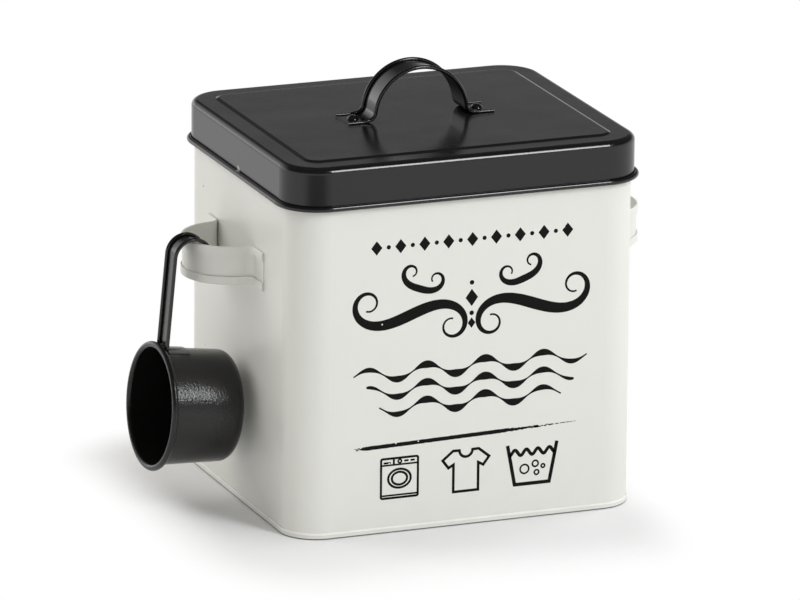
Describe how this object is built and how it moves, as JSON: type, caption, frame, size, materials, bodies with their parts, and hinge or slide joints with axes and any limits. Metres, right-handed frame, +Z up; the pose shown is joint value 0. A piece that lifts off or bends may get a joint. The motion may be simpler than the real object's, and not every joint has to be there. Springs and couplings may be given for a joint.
{
  "type": "laundry detergent storage box",
  "caption": "Tall rounded-corner sheet-metal box for laundry powder, with strap handles on its sides, a lift-off lid with a riveted strap handle, and a scoop hooked on one side handle.",
  "frame": {"origin": "middle of the base, on the surface that the box stands on", "axes": "+Z up, +X to the right and +Y to the back, with the printed side facing -Y and the scoop on the -X handle"},
  "size_m": [0.2869, 0.1806, 0.2374],
  "materials": {
    "body_coat": "satin powder coat, off-white",
    "lid_coat": "satin powder coat, black"
  },
  "bodies": {
    "box": {"body_wall": "body_coat", "base_panel": "body_coat", "side_handle_left": "body_coat", "side_handle_right": "body_coat", "scoop_cup": "lid_coat", "scoop_handle": "lid_coat"},
    "lid": {"lid_shell": "lid_coat", "lid_handle": "lid_coat", "lid_rivet_left": "lid_coat", "lid_rivet_right": "lid_coat"}
  },
  "joints": [
    {"name": "lid_lift", "type": "slide", "parent": "box", "child": "lid", "axis": [0, 0, 1], "range_m": [0, 0.17]}
  ]
}
